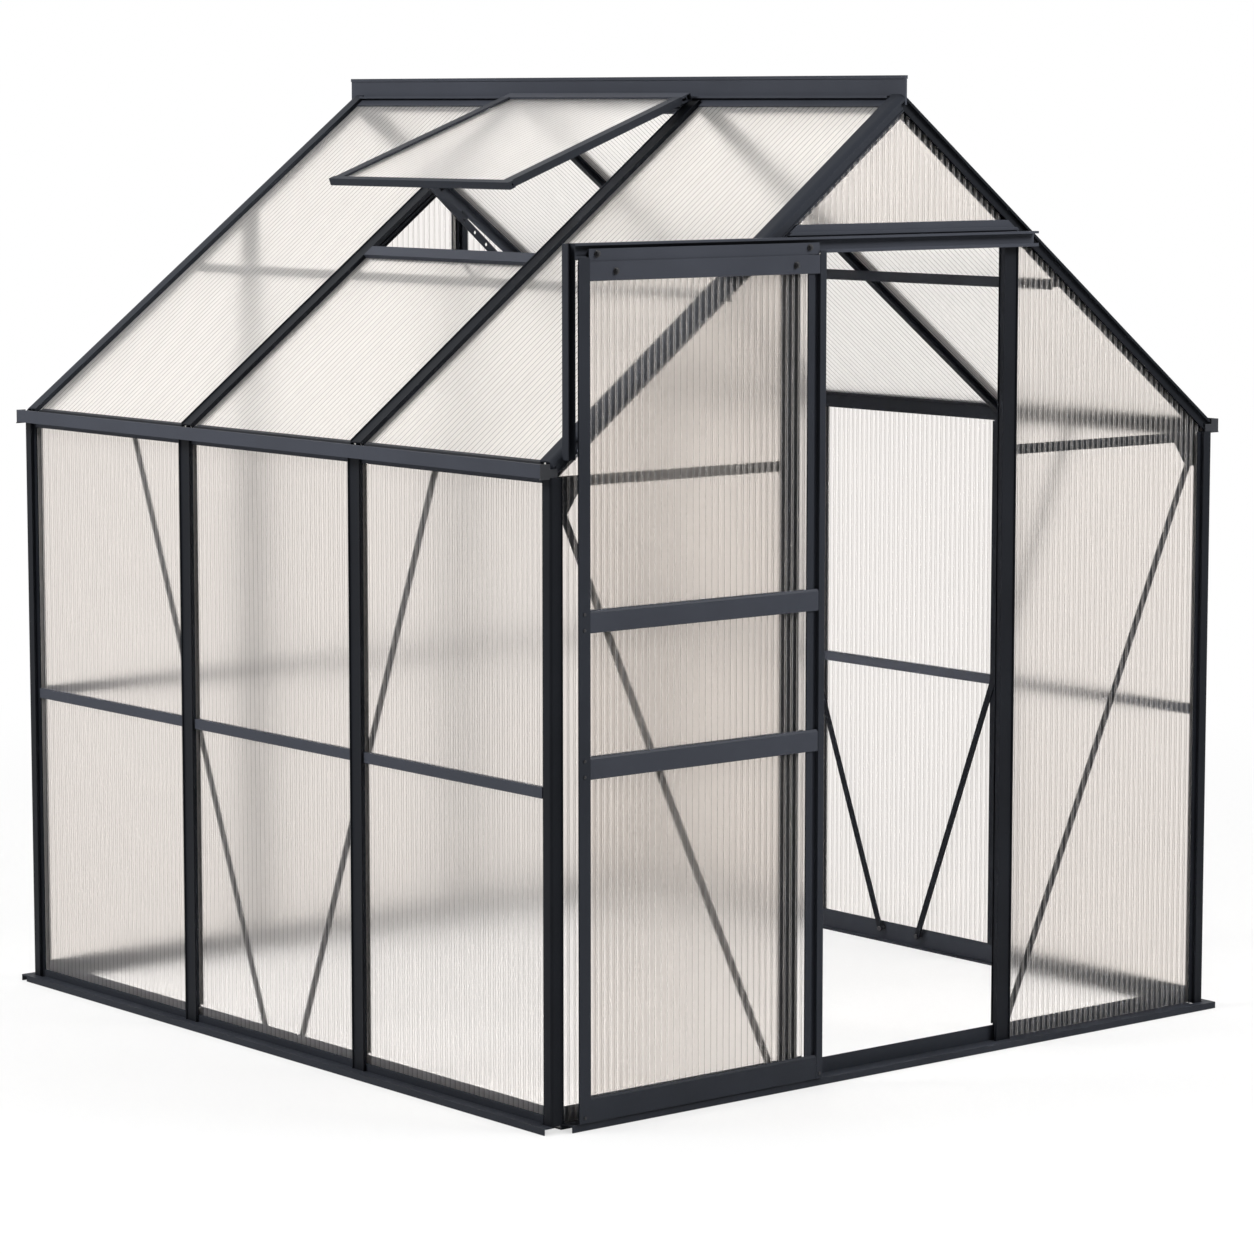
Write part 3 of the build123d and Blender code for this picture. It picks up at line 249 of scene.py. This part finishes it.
def coat_grain_group():
    """Fine grain of a sprayed or moulded skin, with slow patches in its colour and gloss."""
    group = bpy.data.node_groups.new("coat_grain", "ShaderNodeTree")
    scalars = ("Grain Scale", "Gloss Low", "Gloss High")
    add_sockets(group, "INPUT", {"Color": ("Colour", "Worn Colour"), "Float": scalars})
    add_sockets(group, "OUTPUT", {"Color": ("Colour",), "Float": ("Roughness", "Height")})
    maker = Nodes(group)
    given = maker.add("NodeGroupInput").outputs
    grain = maker.noise(given["Grain Scale"], GRAIN_DETAIL)
    patch = maker.add("ShaderNodeMapRange", {
        "Value": maker.noise(PATCH_SCALE, PATCH_DETAIL, PATCH_ROUGHNESS),
        "From Min": PATCH_RANGE[0],
        "From Max": PATCH_RANGE[1],
    }).outputs["Result"]
    patch_part = maker.maths("MULTIPLY", patch, 1 - GRAIN_SHARE)
    worn = maker.maths("MULTIPLY_ADD", grain, GRAIN_SHARE, patch_part)
    maker.add("NodeGroupOutput", {
        "Colour": maker.mix("RGBA", worn, given["Colour"], given["Worn Colour"]),
        "Roughness": maker.mix("FLOAT", patch, given["Gloss Low"], given["Gloss High"]),
        "Height": grain,
    })
    return group


coat_grain = coat_grain_group()


def coated(name, colour, worn, gloss, shine, grain_scale=GRAIN_SCALE, bump=GRAIN_BUMP):
    """A satin coat or moulded plastic, from the shared grain."""
    material, maker, surface = new_material(name)
    grain = maker.add("ShaderNodeGroup", {
        "Colour": colour,
        "Worn Colour": toned(colour, worn),
        "Grain Scale": grain_scale,
        "Gloss Low": gloss[0],
        "Gloss High": gloss[1],
    }, node_tree=coat_grain).outputs
    rounded = maker.add("ShaderNodeBevel", {"Radius": EDGE_RADIUS}, samples=EDGE_SAMPLES)
    lift = maker.add("ShaderNodeBump", {
        "Strength": bump,
        "Distance": GRAIN_DEPTH,
        "Height": grain["Height"],
        "Normal": rounded.outputs["Normal"],
    })
    skin = maker.add("ShaderNodeBsdfPrincipled", {
        "Base Color": grain["Colour"],
        "Roughness": grain["Roughness"],
        "Specular IOR Level": shine,
        "Normal": lift.outputs["Normal"],
    })
    maker.feed(surface, skin.outputs["BSDF"])
    return material


def sheet_material(name, colour, clearness):
    """Milky clear plastic that blurs what is far behind it and lets the lamps through."""
    material, maker, surface = new_material(name)
    haze = maker.add("ShaderNodeMapRange", {
        "Value": maker.noise(SHEET_HAZE_SCALE, SHEET_HAZE_DETAIL),
        "To Min": SHEET_ROUGHNESS[0],
        "To Max": SHEET_ROUGHNESS[1],
    })
    skin = maker.add("ShaderNodeBsdfPrincipled", {
        "Base Color": colour,
        "Roughness": haze.outputs["Result"],
        "IOR": SHEET_IOR,
        "Transmission Weight": clearness,
    })
    clear = maker.add("ShaderNodeBsdfTransparent", {"Color": SHEET_SHADOW})
    shadow = maker.add("ShaderNodeLightPath").outputs["Is Shadow Ray"]
    maker.feed(surface, maker.blend(shadow, skin.outputs["BSDF"], clear.outputs["BSDF"]))
    return material


def rib_material():
    """The webs inside the sheets, almost clear, so that bars behind them stay dark."""
    material, maker, surface = new_material("twin_wall_rib")
    streak = maker.noise(RIB_STREAK_SCALE)
    skin = maker.add("ShaderNodeBsdfPrincipled", {
        "Base Color": maker.mix("RGBA", streak, toned(RIB_COLOUR, RIB_STREAK_TONE), RIB_COLOUR),
        "Roughness": RIB_ROUGHNESS,
        "Alpha": RIB_ALPHA,
    })
    maker.feed(surface, skin.outputs["BSDF"])
    return material


# frame_coat is the coat's own colour; the post, bar and brace coats below are that coat darkened as
# painted shade
frame_coat = coated("frame_coat", COAT_COLOUR, worn=1.35, gloss=(0.45, 0.58), shine=0.07)
post_coat_painted_deep_shade = coated("post_coat_painted_deep_shade", COAT_PAINTED_DEEP_SHADE, worn=1.6, gloss=(0.4, 0.5), shine=0.06)
bar_coat_painted_shade = coated("bar_coat_painted_shade", COAT_PAINTED_SHADE, worn=1.4, gloss=(0.45, 0.58), shine=0.07)
brace_coat_painted_deep_shade = coated("brace_coat_painted_deep_shade", COAT_PAINTED_DEEP_SHADE, worn=1.4, gloss=(0.45, 0.6), shine=0.05)
bolt_black = coated(
    "bolt_black", BOLT_COLOUR, worn=1.6, gloss=(0.35, 0.5), shine=0.35, grain_scale=1500, bump=0.2
)
moulded_black = coated(
    "moulded_black", PLASTIC_COLOUR, worn=1.5, gloss=(0.5, 0.65), shine=0.25, grain_scale=700, bump=0.3
)
twin_wall = sheet_material("twin_wall_plastic", SHEET_COLOUR, clearness=1.0)
# The line and shade plastics paint a highlight strip and a shade strip beside each rib
rib_painted_highlight = sheet_material("twin_wall_painted_highlight", HIGHLIGHT_STRIP_COLOUR, clearness=0.88)
rib_painted_shade = sheet_material("twin_wall_painted_shade", PAINTED_SHADE_STRIP_COLOUR, clearness=1.0)
roof_painted_light_clear = sheet_material("roof_sheet_painted_light_plastic", ROOF_PAINTED_LIGHT_COLOUR, clearness=0.94)
roof_painted_highlight = sheet_material("roof_sheet_painted_highlight", HIGHLIGHT_STRIP_COLOUR, clearness=0.76)
roof_painted_shade = sheet_material("roof_sheet_painted_shade", ROOF_PAINTED_SHADE_STRIP, clearness=1.0)
rib_white = rib_material()

# The finish of each CAD piece, by how its name starts. The first row that fits it counts. Pieces that
# stand in shade get the darker coats, as painted shade.
FINISHES = (
    (bolt_black, ("brace_bolts", "door_bolts", "door_screws")),
    (brace_coat_painted_deep_shade, ("wall_braces",)),
    (moulded_black, ("end_caps", "eave_strips", "door_glides", "door_wheel_")),
    (post_coat_painted_deep_shade, (
        "post_", "studs_", "door_post_", "cross_bars", "gusset_",
        "rafter_front_right", "roof_bars_", "purlins", "gutter_right",
    )),
    (bar_coat_painted_shade, (
        "sill_", "rafter_", "door_stile_", "door_bottom", "track_strut",
        "vent_stiles", "vent_bottom", "vent_stay",
    )),
    (frame_coat, ("",)),
)
for name, piece in nodes.items():
    finish = next(finish for finish, starts in FINISHES if name.startswith(starts))
    piece.data.materials.clear()
    piece.data.materials.append(finish)


# Twin-wall sheets: a closed slab with ribs inside it, in the outline of each CAD sheet
class SheetNodes(Nodes):
    """Geometry nodes of one sheet, with X across its ribs, Y along them and Z out of its face."""

    def __init__(self):
        super().__init__(bpy.data.node_groups.new("twin_wall_sheet", "GeometryNodeTree"))
        add_sockets(self.tree, "INPUT", {
            "Float": (
                "Start", "End", "Foot", "Peak", "Fall", "Middle", "Thickness",
                "Rib Thickness", "Skin", "Flute Depth",
            ),
            "Int": ("Cells", "Flute Steps"),
            "Material": ("Sheet Material", "Painted Highlight Material", "Painted Shade Material", "Rib Material"),
        })
        add_sockets(self.tree, "OUTPUT", {"Geometry": ("Geometry",)})
        self.given = self.add("NodeGroupInput").outputs
        position = self.add("GeometryNodeInputPosition").outputs[0]
        self.here = self.add("ShaderNodeSeparateXYZ", {0: position}).outputs
        self.width = self.maths("SUBTRACT", self.given["End"], self.given["Start"])
        self.pitch = self.maths("DIVIDE", self.width, self.given["Cells"])
        ribs = self.ribs()
        skins = self.skins()
        both = self.add("GeometryNodeJoinGeometry")
        for part in (ribs, skins):
            self.feed(both.inputs[0], part)
        self.add("NodeGroupOutput", {0: both.outputs[0]})

    def whole(self, operation, *terms):
        """The result of an Integer Math node."""
        inputs = dict(enumerate(terms))
        return self.add("FunctionNodeIntegerMath", inputs, operation=operation).outputs[0]

    def vector(self, x, y, z):
        """A vector from its three parts."""
        return self.add("ShaderNodeCombineXYZ", {0: x, 1: y, 2: z}).outputs[0]

    def stretched(self, unit, low, length):
        """A place from low on, where a unit cube's own coordinate runs from -0.5 to 0.5."""
        return self.maths("ADD", low, self.maths("MULTIPLY", self.maths("ADD", unit, 0.5), length))

    def top_at(self, across):
        """Height of the sheet's top edge, which may fall to both sides of the house's middle."""
        drop = self.maths("MULTIPLY", self.given["Fall"], self.maths("ABSOLUTE", across))
        return self.maths("SUBTRACT", self.given["Peak"], drop)

    def placed(self, geometry, position):
        """Geometry with its points moved."""
        inputs = {"Geometry": geometry, "Position": position}
        return self.add("GeometryNodeSetPosition", inputs).outputs[0]

    def finished(self, geometry, name, where=True):
        """Geometry with one of the given materials, all over or where a face is chosen."""
        inputs = {"Geometry": geometry, "Material": self.given[name], "Selection": where}
        return self.add("GeometryNodeSetMaterial", inputs).outputs[0]

    def smoothed(self, geometry):
        """Smooth faces with sharp outer edges."""
        smooth = self.add("GeometryNodeSetShadeSmooth", {"Geometry": geometry})
        angle = self.add("GeometryNodeInputMeshEdgeAngle").outputs[0]
        sharp = self.add(
            "FunctionNodeCompare", {0: angle, 1: math.radians(SHARP_ANGLE)},
            data_type="FLOAT", operation="GREATER_THAN",
        )
        return self.add("GeometryNodeSetShadeSmooth", {
            "Geometry": smooth.outputs[0],
            "Selection": sharp.outputs[0],
            "Shade Smooth": False,
        }, domain="EDGE").outputs[0]

    def skins(self):
        """The faintly fluted slab, with a painted highlight strip and a painted shade strip beside
        each rib.
        """
        given, here = self.given, self.here
        columns = self.whole("MULTIPLY", given["Cells"], given["Flute Steps"])
        box = self.add("GeometryNodeMeshCube", {
            "Size": (1, 1, 1),
            "Vertices X": self.whole("ADD", columns, 1),
            "Vertices Y": 2,
            "Vertices Z": 2,
        })
        across = self.stretched(here["X"], given["Start"], self.width)
        height = self.maths("SUBTRACT", self.top_at(across), given["Foot"])
        along = self.stretched(here["Y"], given["Foot"], height)
        turns = self.maths("DIVIDE", self.maths("SUBTRACT", across, given["Start"]), self.pitch)
        wave = self.maths("COSINE", self.maths("MULTIPLY", turns, 2 * math.pi))
        dip = self.maths("MULTIPLY", self.maths("SUBTRACT", 1, wave), given["Flute Depth"])
        depth = self.maths("SUBTRACT", given["Thickness"], dip)
        out = self.maths("ADD", given["Middle"], self.maths("MULTIPLY", here["Z"], depth))
        slab = self.smoothed(self.placed(box.outputs["Mesh"], self.vector(across, along, out)))
        slab = self.finished(slab, "Sheet Material")

        # Painted light on the skin: a lighter strip on one side of each rib and a darker one on the
        # other, for light caught and shade cast by the webs
        cells = self.maths("DIVIDE", self.maths("SUBTRACT", here["X"], given["Start"]), self.pitch)
        in_cell = self.maths("FRACT", cells)
        strip = self.maths("DIVIDE", 1, given["Flute Steps"])
        painted_highlight_strip = self.maths("LESS_THAN", in_cell, strip)
        painted_shade_strip = self.maths("GREATER_THAN", in_cell, self.maths("SUBTRACT", 1, strip))
        slab = self.finished(slab, "Painted Highlight Material", painted_highlight_strip)
        return self.finished(slab, "Painted Shade Material", painted_shade_strip)

    def ribs(self):
        """The webs between the cells, from just above the foot to just below the top edge."""
        given, here = self.given, self.here
        first = self.maths("ADD", given["Start"], self.pitch)
        row = self.add("GeometryNodeMeshLine", {
            "Count": self.whole("SUBTRACT", given["Cells"], 1),
            "Start Location": self.vector(first, 0, 0),
            "Offset": self.vector(self.pitch, 0, 0),
        })
        skins = self.maths("MULTIPLY", given["Skin"], 2)
        depth = self.maths("SUBTRACT", given["Thickness"], skins)
        size = self.vector(given["Rib Thickness"], 1, depth)
        web = self.add("GeometryNodeMeshCube", {"Size": size})
        copies = self.add("GeometryNodeInstanceOnPoints", {
            "Points": row.outputs[0],
            "Instance": web.outputs["Mesh"],
        })
        webs = self.add("GeometryNodeRealizeInstances", {"Geometry": copies.outputs[0]})
        low = self.maths("ADD", given["Foot"], RIB_END_MARGIN)
        high = self.maths("SUBTRACT", self.top_at(here["X"]), RIB_END_MARGIN)
        along = self.stretched(here["Y"], low, self.maths("SUBTRACT", high, low))
        out = self.maths("ADD", here["Z"], given["Middle"])
        webs = self.placed(webs.outputs[0], self.vector(here["X"], along, out))
        return self.finished(webs, "Rib Material")


def grown(tree, values):
    """The plain mesh that a geometry node tree makes with these named inputs."""
    carrier = bpy.data.objects.new("carrier", bpy.data.meshes.new("carrier"))
    bpy.context.scene.collection.objects.link(carrier)
    modifier = carrier.modifiers.new("nodes", "NODES")
    modifier.node_group = tree
    for item in tree.interface.items_tree:
        if item.in_out == "INPUT":
            modifier[item.identifier] = values[item.name]
    graph = bpy.context.evaluated_depsgraph_get()
    mesh = bpy.data.meshes.new_from_object(carrier.evaluated_get(graph))
    bpy.data.objects.remove(carrier)
    return mesh


def islands(node):
    """Corner points and the widest face's normal of each separate solid in a CAD node."""
    shape = bmesh.new()
    shape.from_mesh(nodes[node].data)
    bmesh.ops.remove_doubles(shape, verts=shape.verts, dist=SAME_POINT)
    left = set(shape.faces)
    found = []
    for seed in shape.faces:
        if seed not in left:
            continue
        left.remove(seed)
        queue = [seed]
        faces = []
        while queue:
            face = queue.pop()
            faces.append(face)
            for edge in face.edges:
                for other in edge.link_faces:
                    if other in left:
                        left.remove(other)
                        queue.append(other)
        corners = [vertex.co for face in faces for vertex in face.verts]
        points = {tuple(round(c, POINT_DIGITS) for c in corner) for corner in corners}
        widest = max(faces, key=lambda face: face.calc_area())
        found.append((sorted(points), widest.normal.copy()))
    shape.free()
    return found


def sheet_frame(points, normal):
    """Axes of a sheet: across its ribs, up along them and out of the house."""
    centre = sum((Vector(p) for p in points), Vector()) / len(points)
    middle = (cad_box[0] + cad_box[1]) / 2
    out = normal if normal.dot(centre - middle) > 0 else -normal
    across = Vector((0, 0, 1)).cross(out).normalized()
    return Matrix((across, out.cross(across), out)).transposed()


def sheet_values(points, axes, plastics):
    """Inputs of the sheet's node tree, read off its CAD corners."""
    local = [axes.transposed() @ Vector(p) for p in points]
    start, end = min(p.x for p in local), max(p.x for p in local)
    inner, outer = min(p.z for p in local), max(p.z for p in local)
    thickness = outer - inner
    lowest = min(p.y for p in local)
    foot = max(p.y for p in local if p.y < lowest + END_CUT * thickness)
    peak = sorted(local, key=lambda p: p.y)[-1]
    ends = [max(p.y for p in local if abs(p.x - x) < SAME_PLACE) for x in (start, end)]
    fall = 0.0
    if min(ends) < peak.y - SLOPED_TOP * thickness:
        far = start if abs(start) > abs(end) or abs(peak.x) < SAME_PLACE else end
        far_top = ends[0] if far == start else ends[1]
        fall = (peak.y - far_top) / (abs(far) - abs(peak.x))
    top = peak.y if fall else min(ends)
    sheet, line, shade = plastics
    return {
        "Start": start,
        "End": end,
        "Foot": foot,
        "Peak": top + fall * abs(peak.x),
        "Fall": fall,
        "Middle": (outer + inner) / 2,
        "Thickness": thickness,
        "Cells": max(2, round((end - start) / RIB_PITCH)),
        "Rib Thickness": RIB_THICKNESS,
        "Skin": SKIN_THICKNESS,
        "Flute Depth": FLUTE_DEPTH,
        "Flute Steps": FLUTE_STEPS,
        "Sheet Material": sheet,
        "Painted Highlight Material": line,
        "Painted Shade Material": shade,
        "Rib Material": rib_white,
    }


def foot_tape(values):
    """A closed strip around the foot of a sheet, in the sheet's own axes."""
    start, end = values["Start"], values["End"]
    length = end - start - 2 * TAPE_INSET
    size = (length, TAPE_WIDTH, values["Thickness"] + 2 * TAPE_THICKNESS)
    middle = ((end + start) / 2, values["Foot"] + TAPE_WIDTH / 2, values["Middle"])
    shape = bmesh.new()
    bmesh.ops.create_cube(shape, size=1)
    for corner in shape.verts:
        corner.co = [m + s * c for m, s, c in zip(middle, size, corner.co)]
    mesh = bpy.data.meshes.new("tape")
    shape.to_mesh(mesh)
    shape.free()
    mesh.materials.append(moulded_black)
    return mesh


def piece_from(name, meshes, body):
    """One object from several meshes that share the same materials, riding on a body."""
    shape = bmesh.new()
    for mesh in meshes:
        shape.from_mesh(mesh)
    joined = bpy.data.meshes.new(name)
    shape.to_mesh(joined)
    shape.free()
    for material in meshes[0].materials:
        joined.materials.append(material)
    for mesh in meshes:
        bpy.data.meshes.remove(mesh)
    piece = bpy.data.objects.new(name, joined)
    bpy.context.scene.collection.objects.link(piece)
    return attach(piece, body)


sheet_nodes = SheetNodes().tree
WALL = (twin_wall, rib_painted_highlight, rib_painted_shade)
ROOF = (roof_painted_light_clear, roof_painted_highlight, roof_painted_shade)
VENT = (roof_painted_light_clear, rib_painted_highlight, rib_painted_shade)
SHEETS = {
    "sheets_left": ("frame", WALL),
    "sheets_right": ("frame", WALL),
    "sheets_front": ("frame", WALL),
    "sheets_back": ("frame", WALL),
    "sheets_roof_left": ("frame", ROOF),
    "sheets_roof_right": ("frame", ROOF),
    "door_sheets": ("door", WALL),
    "vent_sheet": ("vent", VENT),
}
for node, (body, plastics) in SHEETS.items():
    slabs = []
    tapes = []
    for points, normal in islands(node):
        axes = sheet_frame(points, normal)
        values = sheet_values(points, axes, plastics)
        slabs.append(grown(sheet_nodes, values))
        slabs[-1].transform(axes.to_4x4())
        if plastics is ROOF:
            tapes.append(foot_tape(values))
            tapes[-1].transform(axes.to_4x4())
    if tapes:
        piece_from("foot_tape_" + node, tapes, body)
    twin = piece_from("ribbed_" + node, slabs, body)
    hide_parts(node)


# Floor, world, lamps and camera
def background_ray(maker):
    """One where a ray shows the background: seen by the camera, in a gloss or through a sheet."""
    rays = maker.add("ShaderNodeLightPath").outputs
    seen = rays["Is Camera Ray"]
    for name in ("Is Glossy Ray", "Is Transmission Ray"):
        seen = maker.maths("MAXIMUM", seen, rays[name])
    return seen


def floor_material():
    """Pale, with the object's real shadow in its matt share and a painted shade around its foot in its
    glowing white, fading into the white background.
    """
    material, maker, surface = new_material("floor_white")
    cloud = maker.noise(FLOOR_CLOUD_SCALE)
    tone = maker.mix("RGBA", cloud, toned(FLOOR_COLOUR, FLOOR_CLOUD_TONE), FLOOR_COLOUR)
    matt = maker.add("ShaderNodeBsdfDiffuse", {"Color": tone})
    # Painted shade: the floor's glow is dimmed by ambient occlusion where the object stands close by
    nearby = maker.add(
        "ShaderNodeAmbientOcclusion", {"Distance": PAINTED_SHADE_REACH}, samples=CONTACT_SAMPLES
    )
    painted_contact_shade = maker.add("ShaderNodeMapRange", {
        "Value": nearby.outputs["AO"],
        "To Min": PAINTED_SHADE_DARKNESS,
    })
    white = maker.add("ShaderNodeEmission", {"Strength": painted_contact_shade.outputs["Result"]})
    place = maker.add("ShaderNodeTexCoord").outputs["Object"]
    away = maker.add("ShaderNodeVectorMath", {0: place}, operation="LENGTH")
    fade = maker.add("ShaderNodeMapRange", {
        "Value": away.outputs["Value"],
        "From Min": FLOOR_FADE[0],
        "From Max": FLOOR_FADE[1],
        "To Min": FLOOR_WHITE,
    }, interpolation_type="SMOOTHSTEP")
    share = maker.maths("MULTIPLY", background_ray(maker), fade.outputs["Result"])
    maker.feed(surface, maker.blend(share, matt.outputs["BSDF"], white.outputs["Emission"]))
    return material


def floor():
    """A wide plane just under the house."""
    mesh = bpy.data.meshes.new("floor")
    half = FLOOR_HALF
    corners = [(-half, -half, 0), (half, -half, 0), (half, half, 0), (-half, half, 0)]
    mesh.from_pydata(corners, [], [(0, 1, 2, 3)])
    mesh.materials.append(floor_material())
    plane = bpy.data.objects.new("floor", mesh)
    plane.location.z = -FLOOR_DROP
    bpy.context.scene.collection.objects.link(plane)


def world():
    """White where it is seen, and dimmer as a light."""
    sky = bpy.data.worlds.new("studio")
    bpy.context.scene.world = sky
    maker, surface = fresh_nodes(sky, "ShaderNodeOutputWorld")
    lit, white = (
        maker.add("ShaderNodeBackground", {"Color": WHITE, "Strength": strength}).outputs[0]
        for strength in (WORLD_LIGHT, WORLD_WHITE)
    )
    maker.feed(surface, maker.blend(background_ray(maker), lit, white))


def lamp(name, place, target, size, power):
    """A soft rectangular lamp that looks at a target."""
    light = bpy.data.lights.new(name, "AREA")
    light.shape = "RECTANGLE"
    light.size, light.size_y = size
    light.energy = power
    lamp_object = bpy.data.objects.new(name, light)
    lamp_object.location = place
    aim = Vector(target) - Vector(place)
    lamp_object.rotation_euler = aim.to_track_quat("-Z", "Y").to_euler()
    bpy.context.scene.collection.objects.link(lamp_object)


def camera():
    """The photograph's viewpoint."""
    lens = bpy.data.cameras.new("camera")
    lens.sensor_width = SENSOR_WIDTH
    lens.lens = SENSOR_WIDTH * FOCAL_PIXELS / IMAGE_SIDE
    lens.clip_end = CLIP_END
    eye = bpy.data.objects.new("camera", lens)
    eye.location = CAMERA_PLACE
    eye.rotation_euler = (math.radians(90 - CAMERA_DOWN), 0, math.radians(-CAMERA_YAW))
    bpy.context.scene.collection.objects.link(eye)
    bpy.context.scene.camera = eye


floor()
world()
for name, settings in LAMPS.items():
    lamp(name, **settings)
camera()
bpy.context.scene.view_settings.view_transform = "Standard"
